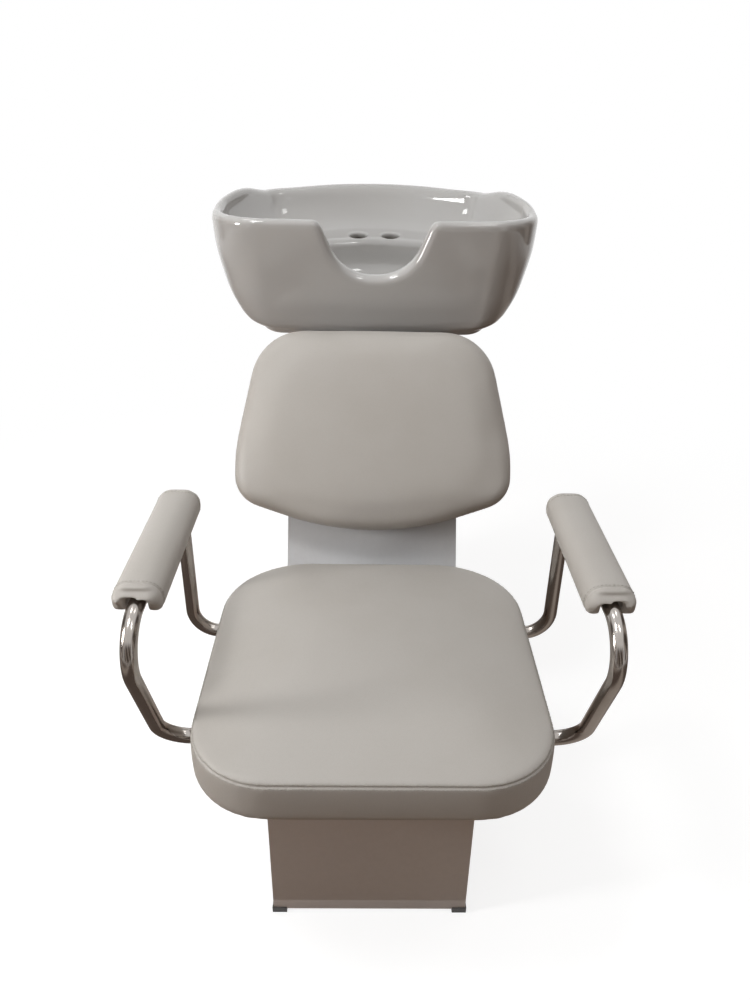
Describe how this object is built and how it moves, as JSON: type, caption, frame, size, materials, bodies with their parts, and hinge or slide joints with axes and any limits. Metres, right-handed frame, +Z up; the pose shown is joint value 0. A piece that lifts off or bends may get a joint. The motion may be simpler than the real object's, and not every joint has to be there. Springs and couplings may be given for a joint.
{
  "type": "salon backwash chair",
  "caption": "Salon backwash chair with a white sheet-metal stand, off-white cushions, chromed tube arms and a tilting ceramic basin with a neck notch.",
  "frame": {"origin": "on the floor under the middle of the object", "axes": "+Z up, -Y towards the client's feet, +Y towards the basin, +X across to the lever side"},
  "size_m": [0.6822, 1.2094, 1.0246],
  "materials": {
    "white_paint": "white powder coat, satin",
    "leatherette": "off-white leatherette, soft sheen",
    "chrome": "bright chrome",
    "glazed_white": "white glaze, glossy",
    "black_plastic": "black, matte",
    "grey_plastic": "light grey, satin",
    "nylon": "natural nylon",
    "plywood": "raw plywood",
    "zinc_steel": "zinc plated",
    "black_steel": "black powder coat",
    "rubber": "black rubber"
  },
  "bodies": {
    "stand": {"arm_clamp_screws": "zinc_steel", "back_panel": "white_paint", "backrest_board": "plywood", "backrest_bolts": "zinc_steel", "backrest_cushion": "leatherette", "backrest_spacers": "black_steel", "column_posts": "zinc_steel", "corner_feet": "black_plastic", "cover_screws": "zinc_steel", "deck_bearers": "zinc_steel", "floor_plate": "zinc_steel", "friction_washers": "black_plastic", "front_cross_rail": "black_steel", "front_panel": "white_paint", "left_arm_pad": "leatherette", "left_arm_tube": "chrome", "left_pad_core": "plywood", "left_side_panel": "white_paint", "left_yoke_bracket": "black_steel", "pad_screws": "zinc_steel", "pivot_bolts": "zinc_steel", "rail_bolts": "zinc_steel", "rear_cover": "white_paint", "rear_cross_rail": "black_steel", "right_arm_pad": "leatherette", "right_arm_tube": "chrome", "right_pad_core": "plywood", "right_side_panel": "white_paint", "right_yoke_bracket": "black_steel", "seat_board": "plywood", "seat_cushion": "leatherette", "seat_deck": "white_paint", "seat_screws": "zinc_steel", "top_plate": "white_paint", "yoke_bolts": "zinc_steel"},
    "basin": {"basin_bowl": "glazed_white", "drain_flange": "chrome", "drain_gasket": "rubber", "drain_nut": "black_plastic", "drain_tailpiece": "grey_plastic", "basin_pads": "rubber", "basin_bolts": "zinc_steel", "cradle_plate": "black_steel", "cradle_ears": "black_steel", "pivot_bushes": "nylon"},
    "lever": {"lock_lever": "zinc_steel", "lever_knob": "black_plastic"},
    "strainer": {"hair_strainer": "chrome"}
  },
  "joints": [
    {"name": "basin_tilt", "type": "hinge", "parent": "stand", "child": "basin", "pos_m": [0, 0.37481, 0.75243], "axis": [1, 0, 0], "range_deg": [-12, 8]},
    {"name": "lever_turn", "type": "hinge", "parent": "stand", "child": "lever", "pos_m": [0, 0.37481, 0.75243], "axis": [1, 0, 0], "range_deg": [0, 40]},
    {"name": "strainer_lift", "type": "slide", "parent": "basin", "child": "strainer", "axis": [0, -0.1392, 0.9903], "range_m": [0, 0.06]}
  ]
}
